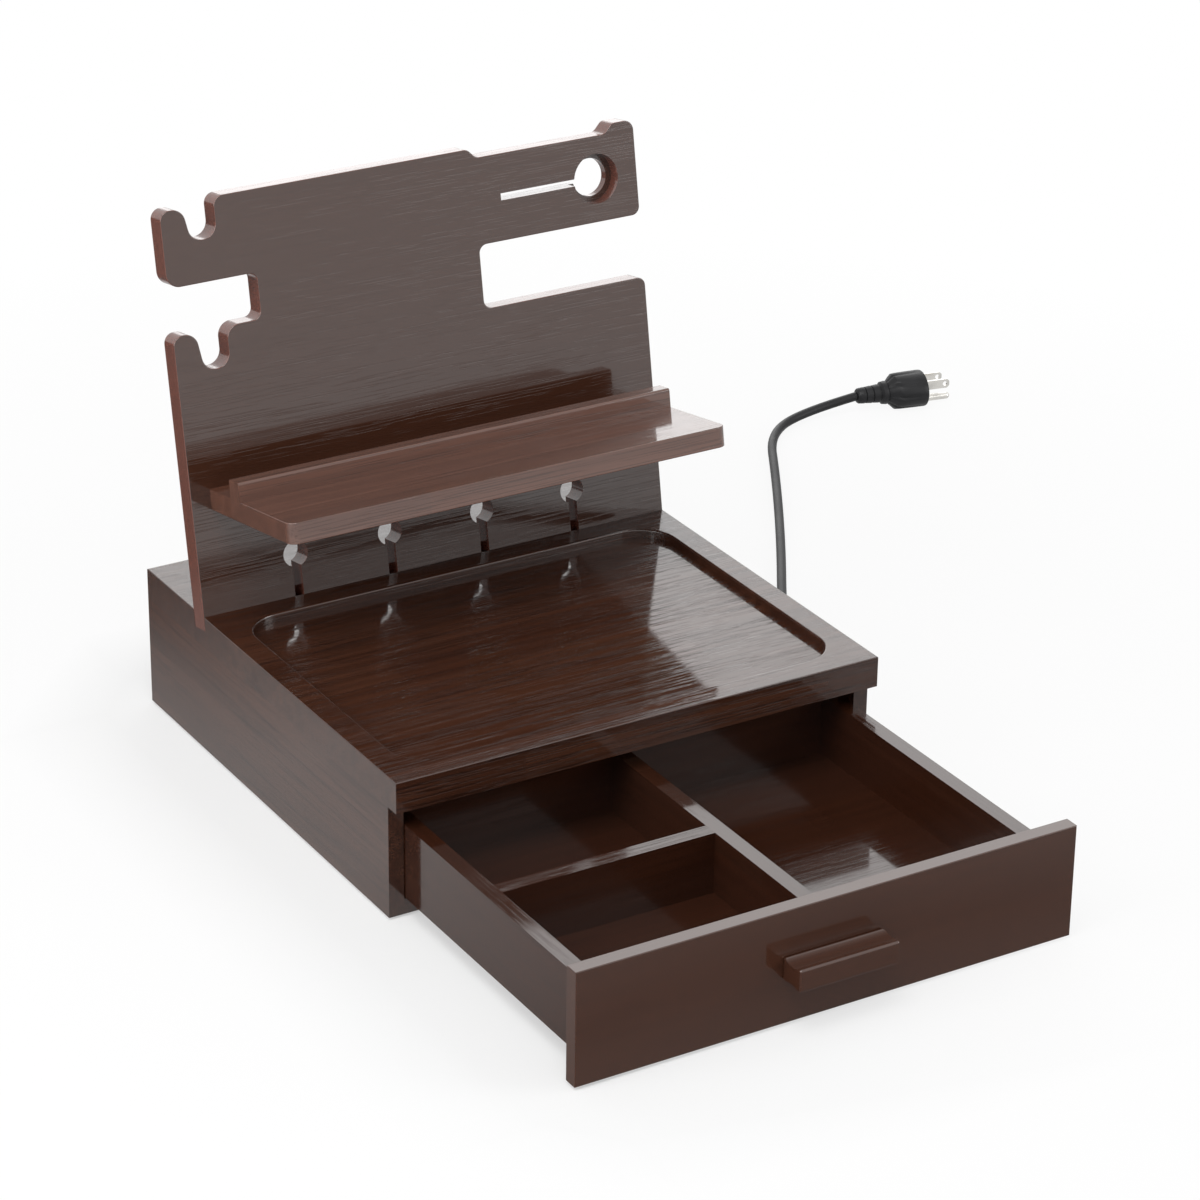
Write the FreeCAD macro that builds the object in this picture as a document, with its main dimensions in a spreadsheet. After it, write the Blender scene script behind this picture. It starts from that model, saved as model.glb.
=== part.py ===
# Valet box with a sliding drawer, a leaning device board, a jewellery shelf and a rear
# charging module. Millimetres. The origin is the centre of the case's footprint on the table:
# +X right, +Y back, +Z up. The drawer stands open, as it does when the box is in use.
import FreeCAD, Part
import math
import os
import re

os.makedirs("parts", exist_ok=True)
doc = FreeCAD.newDocument("ValetBox")
Vector = FreeCAD.Vector
Rotation = FreeCAD.Rotation
Placement = FreeCAD.Placement
X_AXIS, Y_AXIS, Z_AXIS = Vector(1, 0, 0), Vector(0, 1, 0), Vector(0, 0, 1)

# ---------------------------------------------------------------- driving dimensions
SIZES = {
    # case
    "case_width": 300, "case_depth": 300, "side_height": 66, "top_thick": 18,
    "side_thick": 9, "bottom_thick": 9, "back_thick": 9, "overhang": 9,
    "pad_thick": 1.5, "pad_inset": 8, "edge_ease": 0.5,
    # tray recess in the top
    "tray_margin": 15, "tray_rear_margin": 15, "tray_depth": 5, "tray_corner": 22,
    "tray_ease": 1.2,
    # leaning board; heights run up its slope from the top panel
    "board_setback": 226, "board_thick": 13, "board_height": 233.5, "lean_angle": 10,
    "groove_depth": 8, "ear_width": 15.5, "ear_drop": 3.5, "notch_width": 17,
    "upper_notch_floor": 211, "lower_notch_floor": 138.5, "lower_ear_drop": 0.5, "ear_rake": 1.8,
    "left_slot_low": 161, "left_slot_high": 187.3, "left_slot_reach": 54,
    "right_slot_low": 141, "right_slot_high": 178, "right_slot_reach": 106.5,
    "saddle_depth": 5.5, "saddle_start": 191, "saddle_inset": 14,
    "hook_round": 6, "tip_round": 8, "notch_round": 8, "slot_round": 5,
    "keyhole_count": 4, "keyhole_pitch": 60, "keyhole_radius": 7.6, "keyhole_height": 24.4,
    "keyhole_slot": 5.4,
    "puck_inset": 27.2, "puck_height": 203.2, "puck_radius": 14.5, "puck_seat_depth": 8,
    "puck_hole_radius": 11, "slit_height": 4, "slit_reach": 90,
    # shelf on the board
    "shelf_inset": 12, "shelf_depth": 100, "shelf_thick": 12, "shelf_level": 60,
    "shelf_corner": 6, "lip_offset": 27, "lip_thick": 12, "lip_height": 11, "lip_ease": 1.5,
    # drawer
    "open_at_rest": 183, "front_thick": 9, "front_gap": 0.4,
    "glide_thick": 0.8, "glide_width": 8, "drawer_gap": 0.5, "wall_thick": 9, "wall_height": 43.6,
    "box_length": 209, "panel_thick": 5, "panel_raise": 3, "panel_groove": 4,
    "divider_thick": 9, "cross_setback": 95.5,
    "handle_width": 60, "handle_reach": 16, "handle_height": 13, "handle_ease": 1.2,
    "handle_screw_pitch": 40, "handle_land": 1.5, "handle_scoop": 1.6,
    # drawer guides and stop
    "kicker_width": 8, "kicker_gap": 0.6, "kicker_setback": 24,
    "stop_width": 40, "stop_thick": 8, "stop_setback": 20, "stop_drop": 9,
    "tab_width": 20, "tab_thick": 2, "tab_height": 26, "tab_clear": 6,
    # joinery
    "dowel_radius": 2.5, "dowel_bite": 10, "dowel_deep": 14, "dowel_count": 3,
    "screw_radius": 1.75, "screw_head": 3.6, "screw_head_deep": 2.6, "screw_length": 32,
    "shelf_screw_pitch": 78, "shelf_screw_count": 4, "board_screw_count": 3,
    "machine_radius": 2, "machine_head": 3.8, "machine_head_thick": 2.4, "machine_bite": 9,
    # rear charging module
    "module_offset": -18, "module_width": 150, "module_height": 38, "module_depth": 32,
    "module_wall": 2, "module_rise": 9, "plate_thick": 2.5, "plate_flange": 6,
    "plate_corner": 4, "outlet_width": 30, "outlet_height": 28, "outlet_pitch": 38,
    "outlet_start": 24, "outlet_proud": 0.6, "outlet_body": 20, "port_width": 13.2,
    "port_height": 5.8, "port_pitch": 12, "port_length": 14, "port_wall": 0.6,
    "port_inset": 98, "circuit_thick": 1.6, "fit": 0.2, "shank_short": 1,
    # power lead
    "cord_radius": 3, "relief_inset": 19, "relief_length": 30, "relief_root": 6.5,
    "relief_flange": 8.5, "relief_flange_thick": 2.5, "relief_wall": 1,
    "coil_outer": 42, "coil_inner": 24, "coil_height": 11.4, "coil_lift": 0.1,
    "plug_width": 30, "plug_thick": 24, "plug_length": 26, "plug_shoulder": 12,
    "neck_length": 22, "neck_radius": 6.5, "neck_step": 1.5, "neck_collar": 4,
    "blade_width": 6.35, "blade_thick": 1.5, "blade_length": 17.5, "blade_pitch": 12.7,
    "blade_cut": 1.6,
    "blade_hole": 1.6, "ground_radius": 2.4, "ground_length": 21, "ground_offset": 11.9,
    # how far cuts run past a face, and how closely an edge is told by its place
    "cut_past": 1, "near": 1, "flush": 0.2,
}

# Places worked out from the sizes: formulas of a second sheet, in this order.
PLACES = {
    "half_w": "case_width / 2",
    "front_y": "-case_depth / 2",
    "back_y": "case_depth / 2",
    "base_z": "pad_thick",
    "under_z": "base_z + side_height",
    "top_z": "under_z + top_thick",
    "side_y": "front_y + overhang",
    "side_len": "case_depth - overhang",
    "inner_w": "case_width - 2 * side_thick",
    "floor_z": "base_z + bottom_thick",
    "back_in_y": "back_y - back_thick",
    "face_y": "front_y + board_setback",
    "run_z": "floor_z + glide_thick",
    "wall_top_z": "run_z + wall_height",
    "box_w": "inner_w - 2 * drawer_gap",
    "front_in_y": "side_y - open_at_rest",
    "front_out_y": "front_in_y - front_thick",
    "box_back_y": "front_in_y + box_length",
    "panel_z": "run_z + panel_raise",
    "panel_top_z": "panel_z + panel_thick",
    "bay_w": "box_w - 2 * wall_thick",
    "bay_len": "box_length - wall_thick",
    "bay_h": "wall_top_z - panel_top_z",
    "handle_z": "base_z + side_height / 2",
    "scoop_radius": "(handle_reach / 2 - handle_land) ^ 2 / (2 * handle_scoop) + handle_scoop / 2",
    "module_x": "module_offset - module_width / 2",
    "module_z": "floor_z + module_rise",
    "plate_w": "module_width + 2 * plate_flange",
    "plate_h": "module_height + 2 * plate_flange",
    "plate_out_y": "back_y + plate_thick",
    "middle_z": "module_z + module_height / 2",
    "relief_x": "module_x + module_width - relief_inset",
    "relief_z": "module_z + module_height / 3",
    "stop_y": "front_y + stop_setback",
    "shelf_w": "case_width - 2 * shelf_inset",
}

sizes = doc.addObject("Spreadsheet::Sheet", "Sizes")
for row, (alias, value) in enumerate(SIZES.items(), 1):
    sizes.set(f"A{row}", alias)
    sizes.set(f"B{row}", str(value))
    sizes.setAlias(f"B{row}", alias)
places = doc.addObject("Spreadsheet::Sheet", "Places")


def linked(formula):
    """A formula in plain names, with each name pointing at its sheet."""
    def full_name(match):
        word = match.group(0)
        if word in SIZES:
            return f"Sizes.{word}"
        return f"Places.{word}" if word in PLACES else word
    return re.sub(r"[a-z][a-z_]*", full_name, formula)


for row, (alias, formula) in enumerate(PLACES.items(), 1):
    places.set(f"A{row}", alias)
    places.set(f"B{row}", "=" + linked(formula).replace("Places.", ""))
    places.setAlias(f"B{row}", alias)
doc.recompute()
size = {alias: float(sizes.get(alias)) for alias in SIZES}
size.update({alias: float(places.get(alias)) for alias in PLACES})


# ---------------------------------------------------------------- building blocks
def bind(thing, **formulas):
    """Bind properties, or x, y and z of the placement, to formulas of the sheets."""
    for name, formula in formulas.items():
        target = f"Placement.Base.{name}" if name in ("x", "y", "z") else name
        thing.setExpression(target, linked(formula))
    return thing


def block(label, length, width, height, x, y, z):
    """A board with square edges: its three sizes and its lowest corner."""
    board = doc.addObject("Part::Box", label)
    return bind(board, Length=length, Width=width, Height=height, x=x, y=y, z=z)


def rod(label, radius, length, x, y, z, axis=Z_AXIS):
    """A cylinder from its start point along an axis."""
    cylinder = doc.addObject("Part::Cylinder", label)
    cylinder.Placement.Rotation = Rotation(Z_AXIS, axis)
    return bind(cylinder, Radius=radius, Height=length, x=x, y=y, z=z)


def group(label, members):
    """Several separate solids held as one node."""
    compound = doc.addObject("Part::Compound", label)
    compound.Links = members
    return compound


def joined(label, members):
    fusion = doc.addObject("Part::MultiFuse", label)
    fusion.Shapes = members
    fusion.Refine = True
    return fusion


def less(label, base, *tools):
    """A piece with other shapes taken out of it."""
    cut = doc.addObject("Part::Cut", label)
    cut.Base = base
    cut.Tool = tools[0] if len(tools) == 1 else joined(label + "_tools", list(tools))
    return cut


def eased(label, base, radius_name, chosen):
    """Round the edges that a test picks, by a named radius."""
    doc.recompute()
    fillet = doc.addObject("Part::Fillet", label)
    fillet.Base = base
    radius = size[radius_name]
    fillet.Edges = [(number, radius, radius)
                    for number, edge in enumerate(base.Shape.Edges, 1) if chosen(edge)]
    return fillet


def long_edge(edge):
    """Straight edges long enough to be worth easing."""
    return edge.Length > 4 * size["wall_thick"]


def rounded(corners):
    """Closed outline through corners (x, y, radius): lines joined by tangent arcs."""
    entries, arcs, exits = [], [], []
    count = len(corners)
    for i, (x, y, radius) in enumerate(corners):
        here = Vector(x, y, 0)
        before = (Vector(*corners[i - 1][:2], 0) - here).normalize()
        after = (Vector(*corners[(i + 1) % count][:2], 0) - here).normalize()
        half = before.getAngle(after) / 2
        reach = radius / math.tan(half)
        entries.append(here + before * reach)
        exits.append(here + after * reach)
        to_middle = radius / math.sin(half) - radius
        middle = here + (before + after).normalize() * to_middle
        arcs.append(Part.Arc(entries[-1], middle, exits[-1]) if radius > 0 else None)
    outline = []
    for i in range(count):
        start, end = exits[i], entries[(i + 1) % count]
        outline.append(Part.LineSegment(start, end))
        if arcs[(i + 1) % count]:
            outline.append(arcs[(i + 1) % count])
    return outline


def rectangle(x0, y0, x1, y1, radius=0):
    return rounded([(x0, y0, radius), (x1, y0, radius), (x1, y1, radius), (x0, y1, radius)])


def plane_of(body, role):
    return next(item for item in body.Origin.OriginFeatures if item.Role == role)


def sketch_on(body, name, role, outlines, offset=0):
    """A sketch on one of a body's own planes, moved along the plane's normal."""
    sketch = body.newObject("Sketcher::SketchObject", name)
    sketch.AttachmentSupport = [(plane_of(body, role), "")]
    sketch.MapMode = "FlatFace"
    sketch.AttachmentOffset = Placement(Vector(0, 0, offset), Rotation())
    for outline in outlines:
        sketch.addGeometry(outline, False)
    return sketch


def feature(body, kind, name, sketch, length, reverse=False):
    """A pad or pocket of a sketch, its length bound to a formula."""
    made = body.newObject("PartDesign::" + kind, name)
    made.Profile = sketch
    made.setExpression("Length", linked(length))
    made.Reversed = reverse
    body.Tip = made
    return made


def circle(x, y, radius):
    return Part.Circle(Vector(x, y, 0), Z_AXIS, radius)


def leaning(thing, across, outward, upward):
    """Place a thing in the board's frame: x from its left end, out of its front, up its slope."""
    lean = math.radians(size["lean_angle"])
    cosine, sine = math.cos(lean), math.sin(lean)
    thing.Placement = Placement(
        Vector(across - size["half_w"],
               size["face_y"] - outward * cosine + upward * sine,
               size["top_z"] + outward * sine + upward * cosine),
        Rotation(X_AXIS, -size["lean_angle"]).multiply(thing.Placement.Rotation))
    return thing


def wood_screw(label, length="screw_length"):
    """Countersunk screw: its head's face at the origin, its point along +Z."""
    head = doc.addObject("Part::Cone", label + "_head")
    bind(head, Radius1="screw_head", Radius2="screw_radius", Height="screw_head_deep")
    shank = rod(label + "_shank", "screw_radius", length, "0", "0", "0")
    return joined(label, [head, shank])


def evenly(count, low, high):
    """Places that share a span evenly, each in the middle of its share."""
    step = (high - low) / count
    return [low + step * (i + 0.5) for i in range(int(count))]


def pitched(count, pitch, middle):
    """Places one pitch apart, centred on a middle."""
    reach = count * pitch / 2
    return evenly(count, middle - reach, middle + reach)


# ---------------------------------------------------------------- dowels and board groove
dowel_rows = evenly(size["dowel_count"], size["side_y"], size["back_in_y"])
top_pins, base_pins, back_pins = [], [], []
for side, sign in (("left", -1), ("right", 1)):
    middle = f"{sign} * (half_w - side_thick / 2)"
    inside = f"{sign} * (half_w - side_thick + dowel_bite / 2)"
    inward = X_AXIS * -sign
    for number, along in enumerate(dowel_rows):
        top_pins.append(rod(f"top_pin_{side}_{number}", "dowel_radius", "dowel_deep + dowel_bite",
                            middle, f"{along}", "under_z - dowel_deep"))
        base_pins.append(rod(f"base_pin_{side}_{number}", "dowel_radius", "1.5 * dowel_bite",
                             inside, f"{along}", "base_z + bottom_thick / 2", inward))
    for number in range(2):
        back_pins.append(rod(f"back_pin_{side}_{number}", "dowel_radius", "1.5 * dowel_bite",
                             inside, "back_y - back_thick / 2",
                             f"floor_z + side_height * (1 + {number} * 2) / 6", inward))
top_dowels = group("top_dowels", top_pins)
base_dowels = group("base_dowels", base_pins)
back_dowels = group("back_dowels", back_pins)

groove = doc.addObject("Part::Box", "board_groove")
bind(groove, Length="2 * case_width", Width="board_thick", Height="groove_depth + top_thick")
leaning(groove, -size["half_w"], 0, -size["groove_depth"])

board_screw_list, board_bores = [], []
for number, across in enumerate(evenly(size["board_screw_count"], size["keyhole_pitch"],
                                       size["case_width"] - size["keyhole_pitch"])):
    screw = wood_screw(f"board_screw_{number}")
    leaning(screw, across, -size["board_thick"] / 2, size["screw_head_deep"] - size["top_thick"])
    board_screw_list.append(screw)
    bore = rod(f"board_bore_{number}", "screw_head", "screw_head_deep + tray_depth", "0", "0", "0")
    leaning(bore, across, -size["board_thick"] / 2, -size["top_thick"] - size["tray_depth"])
    board_bores.append(bore)
board_screws = group("board_screws", board_screw_list)
board_sinks = group("board_sinks", board_bores)

shelf_screw_list = []
for number, across in enumerate(pitched(size["shelf_screw_count"], size["shelf_screw_pitch"],
                                        size["half_w"])):
    screw = wood_screw(f"shelf_screw_{number}")
    screw.Placement.Rotation = Rotation(Z_AXIS, -Y_AXIS)
    leaning(screw, across, -size["board_thick"],
            size["shelf_level"] + size["shelf_thick"] / 2)
    shelf_screw_list.append(screw)
shelf_screws = group("shelf_screws", shelf_screw_list)


# ---------------------------------------------------------------- case
def make_top_panel():
    """Top with its shallow tray, the groove that holds the board, and dowel holes."""
    body = doc.addObject("PartDesign::Body", "top_blank")
    half_w, half_d = size["half_w"], size["case_depth"] / 2
    slab = sketch_on(body, "top_outline", "XY_Plane", [rectangle(-half_w, -half_d, half_w, half_d)])
    feature(body, "Pad", "top_slab", slab, "top_thick")
    tray_w = half_w - size["tray_margin"]
    tray = sketch_on(body, "tray_outline", "XY_Plane",
                     [rectangle(-tray_w, size["front_y"] + size["tray_margin"],
                                tray_w, size["face_y"] - size["tray_rear_margin"],
                                size["tray_corner"])], size["top_thick"])
    feature(body, "Pocket", "tray", tray, "tray_depth")
    bind(body, z="under_z")
    outline_eased = eased("top_eased", body, "edge_ease",
                          lambda edge: on_top_face(edge) and on_outline(edge))
    soft = eased("tray_eased", outline_eased, "tray_ease",
                 lambda edge: on_top_face(edge) and not on_outline(edge))
    return less("top_panel", soft, groove, top_dowels, board_screws, board_sinks)


def on_top_face(edge):
    """Edges of the top panel's upper face."""
    return edge.BoundBox.ZMin > size["top_z"] - size["flush"]


def on_outline(edge):
    """Edges of the top panel's own outline, not those of its tray."""
    box = edge.BoundBox
    near_side = size["half_w"] - size["near"]
    near_front = size["case_depth"] / 2 - size["near"]
    return max(abs(box.XMin), abs(box.XMax)) > near_side and (
        max(abs(box.YMin), abs(box.YMax)) > near_front)


top_panel = make_top_panel()
block("base_pad", "case_width - 2 * pad_inset", "side_len - 2 * pad_inset", "pad_thick",
            "pad_inset - half_w", "side_y + pad_inset", "0")
side_cuts = joined("side_cuts", [top_dowels, base_dowels, back_dowels])
for side, sign, edge_x in (("left", -1, "-half_w"), ("right", 1, "half_w - side_thick")):
    blank = block(f"{side}_blank", "side_thick", "side_len", "side_height",
                  edge_x, "side_y", "base_z")
    less(f"{side}_side", blank, side_cuts)
bottom_blank = block("bottom_blank", "inner_w", "side_len", "bottom_thick",
                     "side_thick - half_w", "side_y", "base_z")
less("bottom_panel", bottom_blank, base_dowels)
back_blank = block("back_blank", "inner_w", "back_thick", "side_height - bottom_thick",
                   "side_thick - half_w", "back_in_y", "floor_z")
window = block("module_window", "module_width", "3 * back_thick", "module_height",
               "module_x", "back_in_y - back_thick", "module_z")

for side, glide_x, kicker_x in (
        ("left", "side_thick - half_w", "side_thick - half_w"),
        ("right", "half_w - side_thick - glide_width", "half_w - side_thick - kicker_width")):
    block(f"{side}_glide", "glide_width", "side_len - back_thick - 2 * pad_inset", "glide_thick",
          glide_x, "side_y + pad_inset", "floor_z")
    block(f"{side}_kicker", "kicker_width", "case_depth - kicker_setback - 2 * back_thick",
          "under_z - wall_top_z - kicker_gap", kicker_x, "front_y + kicker_setback",
          "wall_top_z + kicker_gap")
block("stop_cleat", "stop_width", "stop_thick", "stop_drop",
      "-stop_width / 2", "stop_y", "under_z - stop_drop")


# ---------------------------------------------------------------- leaning board and its shelf
def board_outline():
    """Board seen from the front: two ears at the left, two open slots, a saddle on top."""
    width, foot = size["case_width"], -size["groove_depth"]
    slot_r, hook_r = size["slot_round"], size["hook_round"]
    notch_r, tip_r = size["notch_round"], size["tip_round"]
    ear, notch = size["ear_width"], size["ear_width"] + size["notch_width"]
    top, saddle = size["board_height"], size["board_height"] - size["saddle_depth"]
    slot_x = width - size["right_slot_reach"]
    ramp = size["saddle_depth"]
    saddle_end = width - size["saddle_inset"]
    rake = size["ear_rake"]
    upper_tip, lower_tip = top - size["ear_drop"], size["left_slot_low"] - size["lower_ear_drop"]
    return rounded([
        (0, foot, 0), (width, foot, 0),
        (width, size["right_slot_low"], slot_r), (slot_x, size["right_slot_low"], slot_r),
        (slot_x, size["right_slot_high"], slot_r), (width, size["right_slot_high"], slot_r),
        (width, top, hook_r), (saddle_end, top, slot_r), (saddle_end - ramp, saddle, slot_r),
        (size["saddle_start"] + ramp, saddle, slot_r), (size["saddle_start"], top, slot_r),
        (notch, top, hook_r), (notch, size["upper_notch_floor"], notch_r),
        (ear + rake, size["upper_notch_floor"], notch_r), (ear - rake, upper_tip, tip_r),
        (0, upper_tip, hook_r), (0, size["left_slot_high"], notch_r),
        (size["left_slot_reach"], size["left_slot_high"], slot_r),
        (size["left_slot_reach"], size["left_slot_low"], slot_r),
        (notch, size["left_slot_low"], notch_r), (notch, size["lower_notch_floor"], notch_r),
        (ear + rake, size["lower_notch_floor"], notch_r), (ear - rake, lower_tip, tip_r),
        (0, lower_tip, hook_r)])


def keyhole(across):
    """Cable hole: a round eye over a slot that is open at the board's foot."""
    centre, radius = size["keyhole_height"], size["keyhole_radius"]
    half = size["keyhole_slot"] / 2
    foot = -size["groove_depth"] - size["cut_past"]
    waist = centre - math.sqrt(radius ** 2 - half ** 2)
    corners = [Vector(across + half, foot, 0), Vector(across + half, waist, 0),
               Vector(across - half, waist, 0), Vector(across - half, foot, 0)]
    crown = Vector(across, centre + radius, 0)
    return [Part.LineSegment(corners[0], corners[1]), Part.Arc(corners[1], crown, corners[2]),
            Part.LineSegment(corners[2], corners[3]), Part.LineSegment(corners[3], corners[0])]


def make_upright_board():
    """Leaning board: pad, cable keyholes, a stepped seat for a charging puck and its slit."""
    body = doc.addObject("PartDesign::Body", "board_blank")
    outline = sketch_on(body, "board_outline", "XZ_Plane", [board_outline()])
    feature(body, "Pad", "board_slab", outline, "board_thick", True)
    eyes = [keyhole(across) for across in
            pitched(size["keyhole_count"], size["keyhole_pitch"], size["half_w"])]
    feature(body, "Pocket", "keyholes", sketch_on(body, "keyhole_outlines", "XZ_Plane", eyes),
            "2 * board_thick")
    puck_x, puck_v = size["case_width"] - size["puck_inset"], size["puck_height"]
    half_slit = size["slit_height"] / 2
    slit = rectangle(size["case_width"] - size["slit_reach"], puck_v - half_slit,
                     puck_x, puck_v + half_slit)
    for name, shape, depth in (("slit", slit, "2 * board_thick"),
                               ("puck_hole", circle(puck_x, puck_v, size["puck_hole_radius"]),
                                "2 * board_thick"),
                               ("puck_seat", circle(puck_x, puck_v, size["puck_radius"]),
                                "puck_seat_depth")):
        feature(body, "Pocket", name, sketch_on(body, name + "_outline", "XZ_Plane", [shape]), depth)
    leaning(body, 0, 0, 0)
    local = body.Placement.inverse()
    foot = -size["groove_depth"]
    soft = eased("board_eased", body, "edge_ease",
                 lambda edge: in_plane(edge, local) and rim_edge(edge, local, foot))
    return less("upright_board", soft, board_screws, shelf_screws)


def in_plane(edge, local):
    """Edges that lie in the board's front or back face."""
    depths = [local.multVec(edge.valueAt(at)).y for at in edge.ParameterRange]
    return abs(depths[0] - depths[1]) < size["flush"]


def rim_edge(edge, local, foot):
    """Edges of the board's outline: not its foot, nor its keyholes, slit and seat."""
    start, end = [local.multVec(edge.valueAt(at)) for at in edge.ParameterRange]
    left, right = sorted((start.x, end.x))
    low, high = sorted((start.z, end.z))
    near = size["near"]
    inside = right < size["case_width"] - near
    if low < foot + near and right - left > near:
        return False
    keyhole_top = size["keyhole_height"] + size["keyhole_radius"] + near
    if inside and left > size["ear_width"] and high < keyhole_top:
        return False
    seat_reach = size["puck_radius"] + near
    in_seat = size["puck_height"] - seat_reach < low and high < size["puck_height"] + seat_reach
    return not (in_seat and inside and left > size["case_width"] - size["slit_reach"] - near)


def make_device_shelf():
    """Shelf square to the board: a plank with rounded front corners and a standing lip."""
    body = doc.addObject("PartDesign::Body", "shelf_blank")
    width, depth, corner = size["shelf_w"], size["shelf_depth"], size["shelf_corner"]
    plank = sketch_on(body, "plank_outline", "XY_Plane",
                      [rounded([(0, 0, 0), (0, -depth, corner),
                                (width, -depth, corner), (width, 0, 0)])])
    feature(body, "Pad", "plank", plank, "shelf_thick")
    near = -size["lip_offset"]
    lip = sketch_on(body, "lip_outline", "XY_Plane",
                    [rectangle(0, near - size["lip_thick"], width, near)], size["shelf_thick"])
    feature(body, "Pad", "lip", lip, "lip_height")
    leaning(body, size["shelf_inset"], 0, size["shelf_level"])
    crest = size["shelf_thick"] + size["lip_height"] - size["edge_ease"]
    local = body.Placement.inverse()
    lip_soft = eased("lip_eased", body, "lip_ease",
                     lambda edge: long_edge(edge) and
                     local.multVec(edge.Vertexes[0].Point).z > crest)
    soft = eased("shelf_eased", lip_soft, "edge_ease", lambda edge: plank_rim(edge, local))
    return less("device_shelf", soft, shelf_screws)


def plank_rim(edge, local):
    """Upper and lower edges of the plank in front of its lip, round its two corners."""
    start, end = [local.multVec(edge.valueAt(at)) for at in edge.ParameterRange]
    front, rear = sorted((start.y, end.y))
    near = size["near"]
    ahead = rear < near - size["lip_offset"] - size["lip_thick"]
    level = abs(start.z - end.z) < size["flush"]
    return ahead and level and (rear - front > near or rear < near - size["shelf_depth"])


make_upright_board()
make_device_shelf()

# ---------------------------------------------------------------- drawer
panel = block("drawer_floor", "bay_w + 2 * panel_groove", "bay_len + 2 * panel_groove",
              "panel_thick", "-bay_w / 2 - panel_groove", "front_in_y - panel_groove", "panel_z")
screw_seats = []
for number, sign in enumerate((-1, 1)):
    shank = rod(f"handle_shank_{number}", "machine_radius", "front_thick + machine_bite",
                f"{sign} * handle_screw_pitch / 2", "front_in_y", "handle_z", -Y_AXIS)
    head = rod(f"handle_head_{number}", "machine_head", "machine_head_thick",
               f"{sign} * handle_screw_pitch / 2", "front_in_y + machine_head_thick",
               "handle_z", -Y_AXIS)
    screw_seats.append(joined(f"handle_screw_{number}", [shank, head]))
handle_screws = group("handle_screws", screw_seats)

front_blank = block("front_blank", "case_width", "front_thick", "side_height - 2 * front_gap",
                    "-half_w", "front_out_y", "base_z + front_gap")
front_eased = eased("front_eased", front_blank, "edge_ease", long_edge)
less("drawer_front", front_eased, panel, handle_screws)
handle_blank = block("handle_blank", "handle_width", "handle_reach", "handle_height",
                     "-handle_width / 2", "front_out_y - handle_reach",
                     "handle_z - handle_height / 2")
handle_eased = eased("handle_eased", handle_blank, "handle_ease", lambda edge: True)
finger_scoops = [rod(f"handle_scoop_{number}", "scoop_radius", "handle_width + 2 * cut_past",
                     "-handle_width / 2 - cut_past", "front_out_y - handle_reach / 2",
                     f"handle_z + {sign} * (handle_height / 2 + scoop_radius - handle_scoop)",
                     X_AXIS)
                 for number, sign in enumerate((-1, 1))]
less("drawer_handle", handle_eased, handle_screws, *finger_scoops)
for side, wall_x in (("left", "-box_w / 2"), ("right", "box_w / 2 - wall_thick")):
    wall = block(f"drawer_{side}_blank", "wall_thick", "box_length", "wall_height",
                 wall_x, "front_in_y", "run_z")
    less(f"drawer_{side}_wall", wall, panel)
rear = block("drawer_rear_blank", "bay_w", "wall_thick", "wall_height",
             "-bay_w / 2", "box_back_y - wall_thick", "run_z")
block("long_divider", "divider_thick", "bay_len", "bay_h",
      "-divider_thick / 2", "front_in_y", "panel_top_z")
block("cross_divider", "(bay_w - divider_thick) / 2", "divider_thick", "bay_h",
      "-bay_w / 2", "front_in_y + cross_setback", "panel_top_z")
tab_blank = block("tab_blank", "tab_width", "tab_thick", "tab_height",
                  "-tab_width / 2", "box_back_y", "under_z - tab_clear - tab_height")
tab_shank = rod("tab_shank", "machine_radius", "wall_thick + tab_thick - shank_short", "0",
                "box_back_y + tab_thick", "wall_top_z - wall_height / 3", -Y_AXIS)
tab_head = rod("tab_head", "machine_head", "machine_head_thick", "0",
               "box_back_y + tab_thick + machine_head_thick", "wall_top_z - wall_height / 3",
               -Y_AXIS)
stop_screw = joined("stop_screw", [tab_shank, tab_head])
less("stop_tab", tab_blank, stop_screw)
less("drawer_back_wall", rear, panel, stop_screw)

# ---------------------------------------------------------------- rear charging module
shell = block("shell_blank", "module_width - 2 * fit", "module_depth", "module_height - 2 * fit",
              "module_x + fit", "back_y - module_depth", "module_z + fit")
hollow = block("shell_hollow", "module_width - 2 * fit - 2 * module_wall", "module_depth",
               "module_height - 2 * fit - 2 * module_wall", "module_x + fit + module_wall",
               "back_y - module_depth + module_wall", "module_z + fit + module_wall")
less("module_housing", shell, hollow)


def make_relief():
    """Cord gland: a flange behind the plate and a long tapered tail outside it."""
    flange = rod("relief_flange_disc", "relief_flange", "relief_flange_thick", "relief_x",
                 "back_y - relief_flange_thick", "relief_z", Y_AXIS)
    neck = rod("relief_neck", "relief_root", "plate_thick", "relief_x", "back_y", "relief_z", Y_AXIS)
    tail = doc.addObject("Part::Cone", "relief_tail")
    tail.Placement.Rotation = Rotation(Z_AXIS, Y_AXIS)
    bind(tail, Radius1="relief_root", Radius2="cord_radius + relief_wall", Height="relief_length",
         x="relief_x", y="plate_out_y", z="relief_z")
    return joined("strain_relief", [flange, neck, tail])


def through_edge(edge):
    """Edges that run front to back through a block."""
    return abs(edge.Vertexes[0].Point.y - edge.Vertexes[-1].Point.y) > size["near"]


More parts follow.
